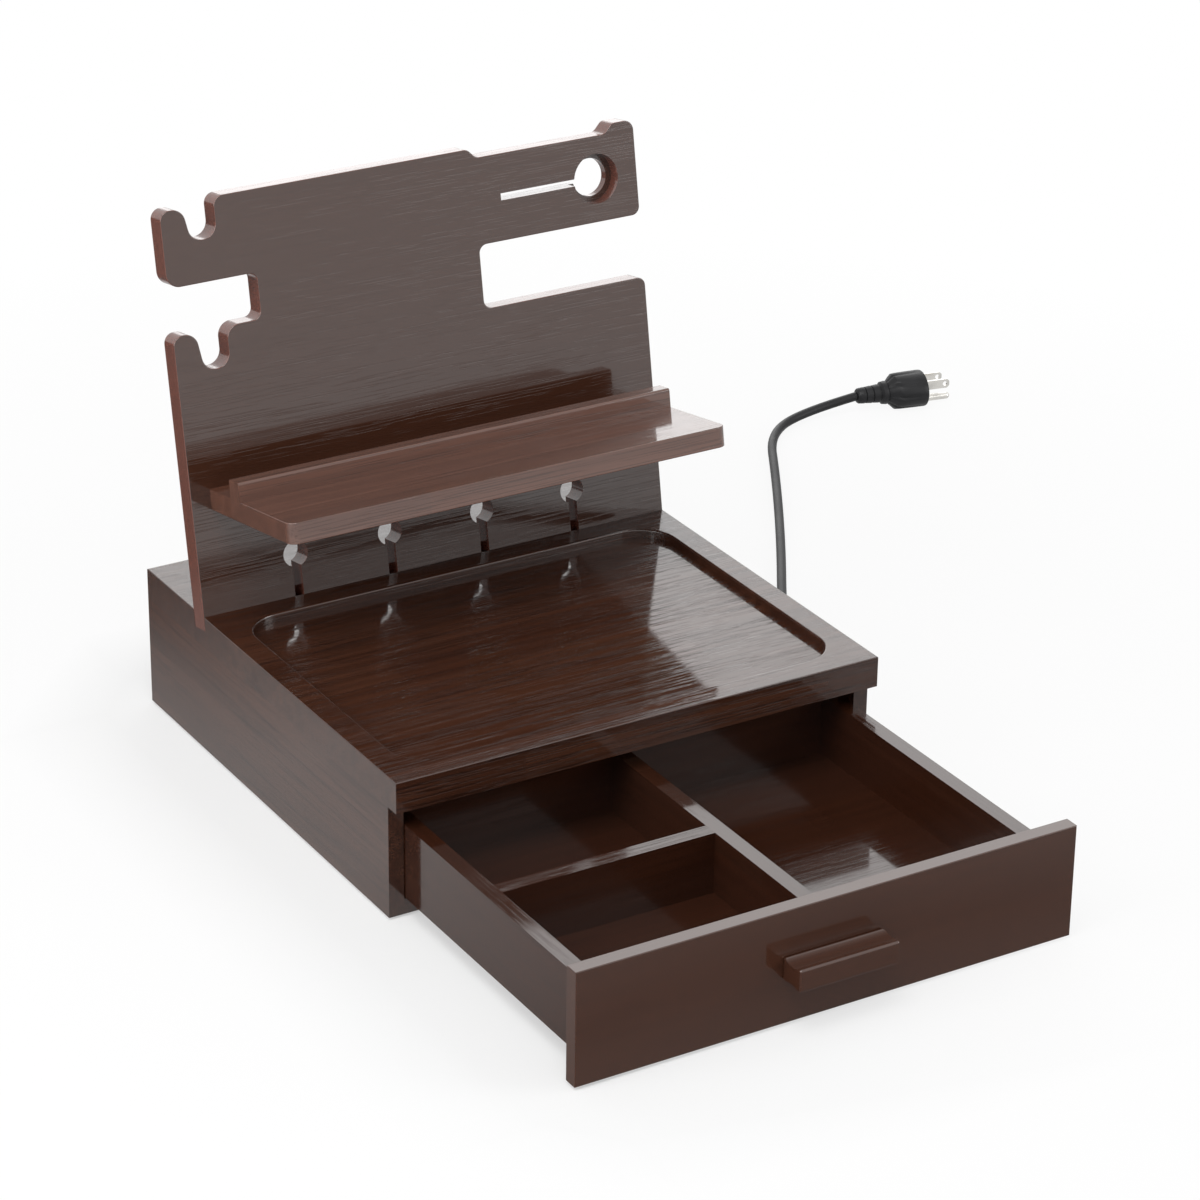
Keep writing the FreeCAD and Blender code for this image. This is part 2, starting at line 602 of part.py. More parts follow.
strain_relief = make_relief()
outlet_cuts, port_cuts = [], []
for number in range(2):
    outlet_x = f"module_x + outlet_start + {number} * outlet_pitch"
    blank = block(f"outlet_blank_{number}", "outlet_width", "outlet_body + plate_thick + outlet_proud",
                  "outlet_height", f"{outlet_x} - outlet_width / 2",
                  "back_y - outlet_body", "middle_z - outlet_height / 2")
    softened = eased(f"outlet_soft_{number}", blank, "plate_corner",
                     through_edge)
    outlet_cuts.append(softened)
    blades = [block(f"outlet_slot_{number}_{i}", "blade_thick + 2 * fit", "blade_length",
                    "blade_width + 2 * fit",
                    f"{outlet_x} + {sign} * blade_pitch / 2 - blade_thick / 2 - fit",
                    "plate_out_y + outlet_proud - blade_length",
                    "middle_z + ground_offset / 3 - blade_width / 2 - fit")
              for i, sign in enumerate((-1, 1))]
    ground = rod(f"outlet_ground_{number}", "ground_radius + fit", "blade_length + outlet_proud",
                 outlet_x, "plate_out_y - blade_length",
                 "middle_z + ground_offset / 3 - ground_offset", Y_AXIS)
    less(f"outlet_{number + 1}", softened, *blades, ground)
port_shells, port_tongues = [], []
for number in range(3):
    low = f"middle_z + ({number} - 1) * port_pitch - port_height / 2"
    left = "module_x + port_inset - port_width / 2"
    outer = block(f"port_outer_{number}", "port_width", "port_length + plate_thick", "port_height",
                  left, "back_y - port_length", low)
    inner = block(f"port_inner_{number}", "port_width - 2 * port_wall",
                  "port_length + plate_thick", "port_height - 2 * port_wall",
                  f"{left} + port_wall", "back_y - port_length + port_wall", f"{low} + port_wall")
    port_cuts.append(outer)
    port_shells.append(less(f"port_shell_{number}", outer, inner))
    port_tongues.append(block(f"port_tongue_{number}", "port_width - 4 * port_wall",
                              "port_length - port_wall", "2 * port_wall",
                              f"{left} + 2 * port_wall", "back_y - port_length + port_wall",
                              f"{low} + port_height / 2 - port_wall"))
group("usb_shells", port_shells)
group("usb_tongues", port_tongues)
block("circuit_board", "port_width + 6 * module_wall", "circuit_thick",
      "module_height - 4 * module_wall", "module_x + port_inset - port_width / 2 - 3 * module_wall",
      "back_y - port_length - circuit_thick", "module_z + 2 * module_wall")
plate_screw_list = []
for number, sign in enumerate((-1, 1)):
    screw_x = f"module_offset + {sign} * (module_width + plate_flange) / 2"
    shank = rod(f"plate_shank_{number}", "screw_radius / 2", "plate_thick + back_thick - shank_short",
                screw_x, "plate_out_y", "middle_z", -Y_AXIS)
    head = rod(f"plate_head_{number}", "screw_radius", "plate_thick / 4",
               screw_x, "plate_out_y", "middle_z", -Y_AXIS)
    plate_screw_list.append(joined(f"plate_screw_{number}", [shank, head]))
plate_screws = group("plate_screws", plate_screw_list)
plate_blank = block("plate_blank", "plate_w", "plate_thick", "plate_h",
                    "module_offset - plate_w / 2", "back_y", "module_z - plate_flange")
plate_soft = eased("plate_soft", plate_blank, "plate_corner",
                   through_edge)
less("module_plate", plate_soft, *outlet_cuts, *port_cuts, strain_relief, plate_screws)
less("back_panel", back_blank, window, back_dowels, plate_screws)

# ---------------------------------------------------------------- power lead
# The lead leaves the gland, drops to the table, is wound behind the case and runs out to
# its plug at the right. These points were chosen by hand; straight runs meet in tangent arcs.
LEAD_IN = [(38, 182.5, 32.2), (38, 204, 31), (38.6, 224, 21), (38, 250, 5.2), (14, 271, 3.2),
           (-15, 271.6, 3.2)]
LEAD_OUT = [(-14, 195.6, 8), (10, 195, 4), (40, 193, 3.2), (76, 197, 3.2), (111, 197, 3.2),
            (144, 184, 3.2), (163, 155, 3.2), (167, 114, 3.2), (161, 72, 3.2), (184, 43, 3.2),
            (219, 45.5, 3.2), (241, 82, 3.2), (275.7, 135.8, 3.2), (309.4, 190.2, 3.2),
            (342.2, 245.2, 3.2), (374, 300.7, 3.2), (410.5, 317, 5.5), (449, 309.6, 12)]
COIL_CENTRE = (-34, 232)


def cord_tube(label, points):
    """A round tube along straight runs joined by the largest arcs that the runs allow."""
    points = [Vector(*point) for point in points]
    edges, radii, start = [], [], points[0]
    for before, here, after in zip(points, points[1:], points[2:]):
        back, ahead = before - here, after - here
        half = back.getAngle(ahead) / 2
        reach = 0.45 * min(back.Length, ahead.Length)
        radii.append(reach * math.tan(half))
        back, ahead = back.normalize(), ahead.normalize()
        enter, leave = here + back * reach, here + ahead * reach
        sag = radii[-1] / math.sin(half) - radii[-1]
        middle = here + (back + ahead).normalize() * sag
        edges.append(Part.LineSegment(start, enter).toShape())
        edges.append(Part.Arc(enter, middle, leave).toShape())
        start = leave
    edges.append(Part.LineSegment(start, points[-1]).toShape())
    path = Part.Wire(edges)
    section = Part.Wire(Part.Circle(points[0], points[1] - points[0], size["cord_radius"]).toShape())
    tube = path.makePipeShell([section], True, True)
    piece = doc.addObject("Part::Feature", label)
    piece.Shape = tube
    expected = math.pi * size["cord_radius"] ** 2 * path.Length
    print(f"{label}: length {path.Length:.1f}, volume ratio {tube.Volume / expected:.4f}, "
          f"radii {[round(radius) for radius in radii]}")
    return points[-1], (points[-1] - points[-2]).normalize()


cord_tube("power_cord_lead", LEAD_IN)
plug_point, plug_way = cord_tube("power_cord_run", LEAD_OUT)
coil_outer = doc.addObject("Part::Cylinder", "coil_outer_drum")
bind(coil_outer, Radius="coil_outer", Height="coil_height")
coil_inner = doc.addObject("Part::Cylinder", "coil_inner_drum")
bind(coil_inner, Radius="coil_inner", Height="coil_height")
coil = less("power_cord_coil", coil_outer, coil_inner)
coil.Placement.Base = Vector(*COIL_CENTRE, size["coil_lift"])


def blade_bar(left, foot_y, middle_z):
    """A flat contact blade with its two tip corners cut off."""
    tip_y, cut = foot_y + size["blade_length"], size["blade_cut"]
    low, high = middle_z - size["blade_width"] / 2, middle_z + size["blade_width"] / 2
    outline = [(foot_y, low), (tip_y - cut, low), (tip_y, low + cut), (tip_y, high - cut),
               (tip_y - cut, high), (foot_y, high), (foot_y, low)]
    corners = [Vector(left, y, z) for y, z in outline]
    return Part.Face(Part.makePolygon(corners)).extrude(X_AXIS * size["blade_thick"])


def make_plug():
    """Moulded plug lying on the table: a flattened bell and neck, two blades, a ground pin."""
    flat_way = Vector(plug_way.x, plug_way.y, 0).normalize()
    frame = Placement(Vector(plug_point.x, plug_point.y, size["plug_thick"] / 2),
                      Rotation(Z_AXIS, math.degrees(math.atan2(-flat_way.x, flat_way.y))))
    neck, face_y = size["neck_length"], size["neck_length"] + size["plug_length"]
    radius, collar = size["neck_radius"], size["neck_radius"] + size["neck_step"]
    half_w, half_t = size["plug_width"] / 2, size["plug_thick"] / 2
    profile = [(0, 0), (size["cord_radius"] + size["neck_step"], 0),
               (radius, neck - size["neck_collar"]), (collar, neck - size["neck_collar"]),
               (collar, neck), (half_w, neck + size["plug_shoulder"]), (half_w, face_y),
               (0, face_y), (0, 0)]
    bell = Part.Face(Part.makePolygon([Vector(x, y, 0) for x, y in profile]))
    slab = Part.makeBox(size["plug_width"], face_y, size["plug_thick"], Vector(-half_w, 0, -half_t))
    moulding = bell.revolve(Vector(), Y_AXIS, 360).common(slab)
    lift = size["ground_offset"] / 3
    blades = []
    for sign in (-1, 1):
        middle = sign * size["blade_pitch"] / 2
        blade = blade_bar(middle - size["blade_thick"] / 2, face_y, lift)
        hole = Part.makeCylinder(size["blade_hole"], 2 * size["blade_thick"],
                                 Vector(middle - size["blade_thick"],
                                        face_y + size["blade_length"] - 2 * size["blade_hole"],
                                        lift), X_AXIS)
        blades.append(blade.cut(hole))
    stem = size["ground_length"] - size["ground_radius"]
    pin_z = lift - size["ground_offset"]
    pin = Part.makeCylinder(size["ground_radius"], stem, Vector(0, face_y, pin_z), Y_AXIS)
    pin = pin.fuse(Part.makeSphere(size["ground_radius"], Vector(0, face_y + stem, pin_z)))
    pin = pin.removeSplitter()
    for label, shape in (("plug_body", moulding), ("plug_blades", Part.makeCompound(blades)),
                         ("plug_ground_pin", pin)):
        piece = doc.addObject("Part::Feature", label)
        piece.Shape = shape
        piece.Placement = frame


make_plug()

# ---------------------------------------------------------------- check and write
NODES = [
    "top_panel", "left_side", "right_side", "bottom_panel", "back_panel", "base_pad",
    "left_glide", "right_glide", "left_kicker", "right_kicker", "stop_cleat",
    "top_dowels", "base_dowels", "back_dowels",
    "upright_board", "board_screws", "device_shelf", "shelf_screws",
    "drawer_front", "drawer_handle", "handle_screws", "drawer_left_wall", "drawer_right_wall",
    "drawer_back_wall", "drawer_floor", "long_divider", "cross_divider", "stop_tab", "stop_screw",
    "module_housing", "module_plate", "plate_screws", "outlet_1", "outlet_2",
    "usb_shells", "usb_tongues", "circuit_board",
    "strain_relief", "power_cord_lead", "power_cord_coil", "power_cord_run",
    "plug_body", "plug_blades", "plug_ground_pin",
]
doc.recompute()
for item in doc.Objects:
    if "Invalid" in item.State or "Error" in item.State:
        raise RuntimeError(f"{item.Name} did not rebuild: {item.State}")
for node in NODES:
    shape = doc.getObject(node).Shape
    if shape.isNull() or not shape.isValid() or shape.Volume <= 0:
        raise RuntimeError(f"{node} has no valid solid")
    shape.exportStep(os.path.join("parts", node + ".step"))
print(f"{len(NODES)} nodes written")
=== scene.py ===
"""Finishes, power lead and studio of a valet box with a drawer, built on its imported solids."""
import math

import bmesh
import bpy
from bpy.props import FloatProperty, FloatVectorProperty, IntProperty, PointerProperty
from bpy.types import Operator, Panel, PropertyGroup
from mathutils import Matrix, Vector


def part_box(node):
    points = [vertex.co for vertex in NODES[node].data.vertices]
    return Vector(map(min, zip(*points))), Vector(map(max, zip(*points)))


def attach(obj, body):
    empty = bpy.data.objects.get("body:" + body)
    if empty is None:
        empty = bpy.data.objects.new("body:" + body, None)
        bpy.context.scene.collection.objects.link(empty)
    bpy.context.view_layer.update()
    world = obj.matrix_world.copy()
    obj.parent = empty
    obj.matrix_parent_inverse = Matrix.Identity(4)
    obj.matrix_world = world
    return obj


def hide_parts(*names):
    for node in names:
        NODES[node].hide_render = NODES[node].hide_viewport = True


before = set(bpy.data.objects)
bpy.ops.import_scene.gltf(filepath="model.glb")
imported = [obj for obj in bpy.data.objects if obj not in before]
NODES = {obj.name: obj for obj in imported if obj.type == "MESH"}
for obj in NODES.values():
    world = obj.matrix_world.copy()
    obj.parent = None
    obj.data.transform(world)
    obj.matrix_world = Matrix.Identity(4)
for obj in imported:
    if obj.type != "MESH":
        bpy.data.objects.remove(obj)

bl_info = {
    "name": "Valet Box",
    "version": (1, 0, 0),
    "blender": (4, 5, 0),
    "location": "View3D > Sidebar > Valet Box",
    "description": "Finishes, power lead and studio of a valet box with a drawer",
    "category": "Object",
}

MM = 0.001
UP = Vector((0, 0, 1))
WHITE = (1.0, 1.0, 1.0, 1.0)

# Boards by the way that their grain runs, and other solids that share a finish.
GRAIN_ACROSS = ("top_panel", "back_panel", "bottom_panel")
GRAIN_DEEP = ("left_side", "right_side")
DRAWER_ACROSS = ("drawer_back_wall", "drawer_floor", "cross_divider")
DRAWER_DEEP = ("drawer_left_wall", "drawer_right_wall", "long_divider")
BARE_PARTS = ("left_kicker", "right_kicker", "stop_cleat")
DOWELS = ("top_dowels", "base_dowels", "back_dowels")
STEEL_PARTS = ("board_screws", "shelf_screws", "handle_screws", "stop_screw", "plate_screws",
               "usb_shells")

# The lead's route in millimetres: out of its gland and down to the table, then, after the
# coil, along the table past the case's right side to the plug.
LEAD_IN = [(38, 182.5, 32.2), (38, 204, 31), (38.6, 224, 21), (38, 250, 5.2), (14, 271, 3.2),
           (-15, 271.6, 3.2)]
LEAD_OUT = [(-14, 195.6, 8), (10, 195, 4), (40, 193, 3.2), (76, 197, 3.2), (111, 197, 3.2),
            (144, 184, 3.2), (163, 155, 3.2), (167, 114, 3.2), (161, 72, 3.2), (184, 43, 3.2),
            (219, 45.5, 3.2), (241, 82, 3.2), (275.7, 135.8, 3.2), (309.4, 190.2, 3.2),
            (342.2, 245.2, 3.2), (374, 300.7, 3.2), (410.5, 317, 5.5), (449, 309.6, 12)]
COIL_CENTRE = (-34, 232)
COIL_TURNS = 4.5

# The gland in millimetres: its collar behind the plate, the taper from its first ring to its
# last, and its mouth round the lead. A ring's points are a share of its pitch and a step inward.
GLAND_COLLAR = 6.4
GLAND_ROOT = 6.3
GLAND_TAPER = 2.2
GLAND_MOUTH = 3.6
GLAND_RINGS = 6
GLAND_RING = ((0.06, 0.0), (0.6, 0.2), (0.66, 0.9), (0.94, 1.0))

# The plug in millimetres along its axis: distance and radius, and the depth of the bell's
# flutes. A ring's distances count from its own start, the bell's from where the bell begins.
PLUG_HEIGHT = 12.0
PLUG_END = ((0.0, 3.9), (0.4, 4.6))
PLUG_RING = ((0.0, 5.2), (3.8, 5.6), (4.1, 4.9), (4.9, 4.9))
PLUG_RINGS = 3
FIRST_RING = 1.2
RING_PITCH = 5.2
RING_GROWTH = 0.35
PLUG_BELL = ((-4.6, 6.6, 0.0), (-4.0, 7.6, 0.0), (-1.2, 8.0, 0.0), (-0.4, 7.7, 0.0),
             (0.0, 7.4, 0.2), (2.2, 9.4, 0.6), (5.0, 12.4, 1.0), (8.0, 14.0, 1.0),
             (15.0, 14.6, 0.8), (22.0, 14.9, 0.35), (24.6, 15.0, 0.0), (25.6, 14.6, 0.0),
             (26.0, 13.8, 0.0))
FLUTES = 8
FLUTE_DEPTH = 1.1

# Each lamp's name, place, aim, width and height in metres, and watts.
LAMPS = (
    ("key_lamp", (-0.9, -1.0, 2.5), (0.0, 0.0, 0.1), (1.5, 1.5), 38.0),
    ("back_lamp", (1.15, 1.75, 1.1), (0.05, 0.0, 0.08), (1.3, 1.3), 6.0),
    ("left_lamp", (-1.5, -0.3, 0.9), (0.0, 0.0, 0.1), (1.0, 1.0), 13.0),
    ("side_lamp", (1.7, -1.5, 0.9), (0.0, 0.0, 0.15), (1.0, 1.0), 12.0),
    ("edge_lamp", (0.9, 1.92, 0.37), (0.0, 0.12, 0.3), (0.9, 0.4), 1.5),
)


# ------------------------------------------------------------------ sizes and colours
def tint(name, description, default):
    """A setting that holds a colour."""
    return FloatVectorProperty(name=name, description=description, subtype="COLOR",
                               default=default, min=0, max=1)


def length(name, description, default, least=0.0):
    """A setting that holds a length in metres."""
    return FloatProperty(name=name, description=description, subtype="DISTANCE",
                         default=default, min=least)


def number(name, description, default, least, most):
    """A setting that holds a plain number."""
    return FloatProperty(name=name, description=description, default=default, min=least,
                         max=most)


def angle(name, description, degrees):
    """A setting that holds an angle."""
    return FloatProperty(name=name, description=description, subtype="ANGLE",
                         default=math.radians(degrees))


class ValetWood(PropertyGroup):
    """The stained and lacquered boards, and the bare rails and dowels."""
    stain: tint("Stain", "Main colour of the stained wood", (0.048, 0.0175, 0.0096))
    deep_stain: tint("Deep stain", "Colour of the pores and the darker grain",
                     (0.014, 0.0046, 0.0025))
    warm_stain: tint("Warm stain", "Colour of the paler grain", (0.062, 0.024, 0.0135))
    board_stain: tint("Board stain", "Main colour of the leaning board",
                      (0.038, 0.0142, 0.0082))
    shelf_stain: tint("Shelf stain", "Main colour of the paler shelf", (0.105, 0.047, 0.033))
    cut_stain: tint("Cut edge stain", "Colour of the board's routed edges",
                    (0.13, 0.043, 0.029))
    # Darker than the case's stain: partly the drawer's own stain, partly painted shade of the
    # drawer's inside.
    drawer_stain_and_shade: tint("Drawer stain", "Main colour inside the drawer",
                       (0.031, 0.0088, 0.004))
    rail: tint("Rail", "Colour of the bare rails", (0.2, 0.105, 0.055))
    rail_grain: tint("Rail grain", "Colour of the bare rails' grain", (0.1, 0.045, 0.02))
    dowel: tint("Dowel", "Colour of the dowels", (0.58, 0.4, 0.24))
    dowel_grain: tint("Dowel grain", "Colour of the dowels' grain", (0.42, 0.26, 0.14))
    lacquer_roughness: number("Lacquer roughness", "Blur of the lacquer's reflections",
                              0.06, 0, 1)
    lacquer_ior: number("Lacquer gloss", "Refractive index of the lacquer", 1.75, 1, 2.5)
    drawer_ior: number("Drawer gloss", "Refractive index of the finish inside the drawer",
                       1.66, 1, 2.5)
    board_lean: angle("Board lean", "How far the board leans back from upright", 10.0)
    grain_width: length("Grain width", "Width of one line of the grain", 0.0008, 0.0001)
    grain_relief: length("Grain relief", "Depth of the pores where the figure is strongest",
                         0.000035)
    stretch: number("Grain stretch", "Width of a grain line as a share of its length",
                    0.012, 0.001, 1)
    stave_width: length("Stave width", "Width of the strips that the boards are glued from",
                        0.027, 0.005)
    stave_length: length("Stave length", "Length of the strips that the boards are glued from",
                         0.19, 0.02)


class ValetFittings(PropertyGroup):
    """Felt, plastics, metals and the circuit board."""
    felt: tint("Felt", "Colour of the pad's felt", (0.006, 0.006, 0.007))
    felt_fibre: tint("Felt fibre", "Colour of the felt's paler fibres", (0.045, 0.045, 0.048))
    glide: tint("Glide", "Colour of the drawer's slick strips", (0.78, 0.76, 0.7))
    brass: tint("Brass", "Colour of the stop tab", (0.72, 0.5, 0.22))
    steel: tint("Steel", "Colour of the screws and the port shells", (0.6, 0.59, 0.57))
    pins: tint("Pins", "Colour of the plug's blades and its round pin", (0.78, 0.76, 0.72))
    housing: tint("Housing", "Colour of the module's housing", (0.014, 0.014, 0.015))
    sockets: tint("Sockets", "Colour of the sockets' faces", (0.02, 0.02, 0.022))
    port: tint("Port", "Colour of the ports' tongues", (0.03, 0.14, 0.5))
    solder_mask: tint("Solder mask", "Colour of the circuit board", (0.004, 0.06, 0.022))
    tracks: tint("Tracks", "Colour of the circuit board's tracks", (0.02, 0.14, 0.05))


class ValetLead(PropertyGroup):
    """The power lead with its plug and gland."""
    diameter: length("Diameter", "Outside diameter of the lead", 0.006, 0.002)
    turn_gap: length("Turn spacing", "Distance between two turns of the coil", 0.0062, 0.002)
    outer_turn: length("Outer turn", "Radius of the coil's outer turn", 0.039, 0.01)
    turn_points: IntProperty(
        name="Points in a turn", description="Control points in one turn of the coil",
        default=16, min=12)
    jacket: tint("Jacket", "Colour of the lead and the plug", (0.008, 0.008, 0.009))


class ValetStudio(PropertyGroup):
    """Camera and floor."""
    azimuth: angle("Azimuth", "Camera's turn about the box", -30.903)
    elevation: angle("Elevation", "Camera's height angle", 25.355)
    roll: angle("Roll", "Camera's tilt about its own axis", 0.64)
    distance: length("Distance", "From the camera to the point it looks at", 2.2769)
    aim: FloatVectorProperty(
        name="Aim", description="Point that the camera looks at", subtype="TRANSLATION",
        default=(0.0304, -0.0373, 0.1064))
    focal_length: FloatProperty(
        name="Focal length", description="Lens length in millimetres", default=123.31)
    shift: FloatVectorProperty(
        name="Shift", description="Lens shift as a share of the frame", size=2,
        default=(0.01137, -0.00701))
    floor: tint("Floor", "Colour of the floor", (0.74, 0.74, 0.74))
    floor_reach: length("Floor reach", "From the box to the floor's edge", 3.0)


# ------------------------------------------------------------------ shader maths
class Wire:
    """An output of a shader node: arithmetic on it adds Math nodes."""

    def __init__(self, tree, socket):
        self.tree = tree
        self.socket = socket

    def math(self, operation, *values):
        return self.tree.node("ShaderNodeMath", {"operation": operation},
                              dict(enumerate(values)))

    def __add__(self, other):
        return self.math("ADD", self, other)

    def __radd__(self, other):
        return self.math("ADD", other, self)

    def __sub__(self, other):
        return self.math("SUBTRACT", self, other)

    def __rsub__(self, other):
        return self.math("SUBTRACT", other, self)

    def __mul__(self, other):
        return self.math("MULTIPLY", self, other)

    def __rmul__(self, other):
        return self.math("MULTIPLY", other, self)

    def __truediv__(self, other):
        return self.math("DIVIDE", self, other)

    def __abs__(self):
        return self.math("ABSOLUTE", self)

    def __floor__(self):
        return self.math("FLOOR", self)

    def at_least(self, other):
        """The greater of two values."""
        return self.math("MAXIMUM", self, other)


class ShaderTree:
    """A node tree that is filled by calls: each call adds one node and returns its output."""

    def __init__(self, owner):
        owner.use_nodes = True
        self.tree = owner.node_tree
        self.tree.nodes.clear()

    def node(self, kind, settings=None, inputs=None, output=0):
        made = self.tree.nodes.new(kind)
        for name, value in (settings or {}).items():
            if name == "stops":
                self.set_stops(made.color_ramp, value)
            else:
                setattr(made, name, value)
        for name, value in (inputs or {}).items():
            if isinstance(value, Wire):
                self.tree.links.new(value.socket, made.inputs[name])
            else:
                made.inputs[name].default_value = value
        return Wire(self, made.outputs[output]) if made.outputs else made

    def set_stops(self, ramp, stops):
        while len(ramp.elements) < len(stops):
            ramp.elements.new(1.0)
        for element, (place, shade) in zip(ramp.elements, stops):
            element.position = place
            element.color = (shade, shade, shade, 1.0)

    def blend(self, mask, low, high):
        """Mix two colours by a mask."""
        return self.node("ShaderNodeMix", {"data_type": "RGBA"}, {0: mask, 6: low, 7: high}, 2)

    def either(self, mask, low, high):
        """Mix two shaders by a mask."""
        return self.node("ShaderNodeMixShader", None, {0: mask, 1: low, 2: high})

    def place(self):
        """Position on the piece, in metres."""
        return self.node("ShaderNodeTexCoord", output="Object")

    def part(self, vector, letter):
        return self.node("ShaderNodeSeparateXYZ", inputs={0: vector}, output=letter)

    def vector_math(self, operation, vectors, output=0):
        return self.node("ShaderNodeVectorMath", {"operation": operation},
                         dict(enumerate(vectors)), output)

    def noise(self, vector, scale, detail=2.0, roughness=0.5):
        return self.node("ShaderNodeTexNoise", None,
                         {"Vector": vector, "Scale": scale, "Detail": detail,
                          "Roughness": roughness})

    def ramp(self, value, *stops):
        """A value from 0 to 1, changed by the stops' places and shades."""
        return self.node("ShaderNodeValToRGB", {"stops": stops}, {0: value})

    def rise(self, value, start, end):
        """0 up to the start, 1 from the end on, and even between them."""
        return self.node("ShaderNodeMapRange", None,
                         {"Value": value, "From Min": start, "From Max": end})

    def bump(self, height, strength, depth):
        return self.node("ShaderNodeBump", None,
                         {"Strength": strength, "Distance": depth, "Height": height})

    def chance(self, first, second):
        """A number from 0 to 1 that is the same wherever both of its seeds are."""
        seeds = self.node("ShaderNodeCombineXYZ", None, {0: first, 1: second})
        return self.node("ShaderNodeTexWhiteNoise", {"noise_dimensions": "2D"},
                         {"Vector": seeds}, "Value")

    def ray(self, kind):
        """1 for rays of this kind, and 0 for all others."""
        return self.node("ShaderNodeLightPath", output=f"Is {kind} Ray")

    def glow(self, shade):
        """Light of full strength in this shade."""
        return self.node("ShaderNodeEmission", None, {"Color": shade, "Strength": 1.0})

    def surface(self, shader):
        self.node("ShaderNodeOutputMaterial", None, {"Surface": shader})

    def principled(self, **inputs):
        named = {name.replace("_", " "): value for name, value in inputs.items()}
        self.surface(self.node("ShaderNodeBsdfPrincipled", None, named))


def colour(values):
    return (*values, 1.0)


def finish(name):
    material = bpy.data.materials.new(name)
    return material, ShaderTree(material)


# ------------------------------------------------------------------ finishes
def lacquered_wood(name, wood, stain, along, figure, relief, gloss, facing=None):
    """Stained open-grained staves under gloss lacquer, the grain along X or Y.

    The figure is how strongly staves and pores show in the colour, the relief how deep the
    pores stand, and the gloss the lacquer's refractive index. Faces that don't look the facing
    way, to either side, have the paler stain of cut edges.
    """
    material, tree = finish(name)
    place = tree.place()
    x, y, z = (tree.part(place, letter) for letter in "XYZ")
    run, across = (x, y + z) if along == "X" else (y, x + z)
    row = math.floor(across / wood.stave_width + 0.5)
    row_seed = 7.0
    lot = math.floor(run / wood.stave_length + tree.chance(row, row_seed))
    stave = tree.chance(row, lot)

    # Lines of the grain: long, a little wandering, in broad bands and fine pores.
    wander, stray = tree.noise(place, 12.0), 0.0012
    stretch = (wood.stretch, 1.0, 1.0) if along == "X" else (1.0, wood.stretch, 1.0)
    drift = tree.vector_math("MULTIPLY_ADD", [wander, (0.0, stray, stray),
                                              tree.vector_math("MULTIPLY", [place, stretch])])
    bands = tree.ramp(tree.noise(drift, 160.0, 3.0), (0.4, 0.0), (0.62, 1.0))
    fine = tree.noise(drift, 1.0 / wood.grain_width, 2.0, 0.55)
    pores = tree.ramp(fine, (0.54, 0.0), (0.6, 1.0))

    # Other stains keep their share of the main one in the pores and the paler staves.
    share = max(stain) / max(wood.stain)
    warm, deep = (colour(value * share for value in shade)
                  for shade in (wood.warm_stain, wood.deep_stain))
    tone = tree.blend(0.5 + (stave - 0.5) * figure, colour(stain), warm)
    tone = tree.blend(bands * (0.4 * figure), tone, deep)
    tone = tree.blend(pores * (0.75 * figure), tone, deep)
    if facing:
        normal = tree.node("ShaderNodeTexCoord", output="Normal")
        straight = tree.vector_math("DOT_PRODUCT", [normal, facing], "Value")
        cut = tree.ramp(abs(straight), (0.75, 1.0), (0.95, 0.0))
        tone = tree.blend(cut, tone, tree.blend(pores * 0.5, colour(wood.cut_stain), deep))
    tree.principled(
        Base_Color=tone,
        Roughness=wood.lacquer_roughness + pores * (0.15 * relief) + bands * 0.015,
        IOR=gloss,
        Normal=tree.bump(fine * 0.35 - pores, 1.0, wood.grain_relief * relief))
    return material


def bare_wood(name, tone, dark):
    """Unlacquered wood of hidden rails and dowels."""
    material, tree = finish(name)
    streaks = tree.vector_math("MULTIPLY", [tree.place(), (1.0, 0.06, 1.0)])
    grain = tree.noise(streaks, 600.0, 4.0, 0.6)
    lines = tree.ramp(grain, (0.35, 0.0), (0.7, 1.0))
    tree.principled(
        Base_Color=tree.blend(lines, colour(dark), colour(tone)),
        Roughness=0.6 + grain * 0.2,
        Normal=tree.bump(grain, 0.4, 0.2 * MM))
    return material


def moulded_plastic(name, tone, roughness, relief=0.05 * MM):
    """Injection-moulded plastic with a fine spark-eroded texture."""
    material, tree = finish(name)
    place = tree.place()
    grit = tree.noise(place, 2600.0, 2.0)
    wear = tree.ramp(tree.noise(place, 90.0, 3.0), (0.4, 0.0), (0.8, 0.6))
    lighter = (min(1.0, value * 1.5 + 0.004) for value in tone)
    tree.principled(
        Base_Color=tree.blend(wear, colour(tone), colour(lighter)),
        Roughness=roughness + (grit - 0.5) * 0.16,
        Normal=tree.bump(grit, 0.5, relief))
    return material


def flexible_jacket(tone):
    """Satin jacket of the lead, the plug and the gland."""
    material, tree = finish("flexible_jacket")
    place = tree.place()
    skin = tree.noise(place, 1500.0, 2.0)
    smear = tree.noise(place, 60.0, 3.0)
    handled = tree.ramp(smear, (0.45, 0.0), (0.75, 0.5))
    paler = (value * 2.2 for value in tone)
    tree.principled(
        Base_Color=tree.blend(handled, colour(tone), colour(paler)),
        Roughness=0.44 + (smear - 0.5) * 0.14,
        Specular_IOR_Level=0.3,
        Normal=tree.bump(skin, 0.35, 0.04 * MM))
    return material


def metal(name, tone, roughness, along=(1.0, 1.0, 0.05)):
    """Plated or brushed metal with fine drawn lines."""
    material, tree = finish(name)
    place = tree.place()
    lines = tree.noise(tree.vector_math("MULTIPLY", [place, along]), 3200.0, 3.0)
    tarnish = tree.ramp(tree.noise(place, 140.0, 2.0), (0.4, 0.0), (0.7, 1.0))
    dull = (value * 0.8 for value in tone)
    tree.principled(
        Base_Color=tree.blend(tarnish, colour(tone), colour(dull)),
        Metallic=1.0,
        Roughness=roughness + (lines - 0.5) * 0.2,
        Normal=tree.bump(lines, 0.3, 0.03 * MM))
    return material


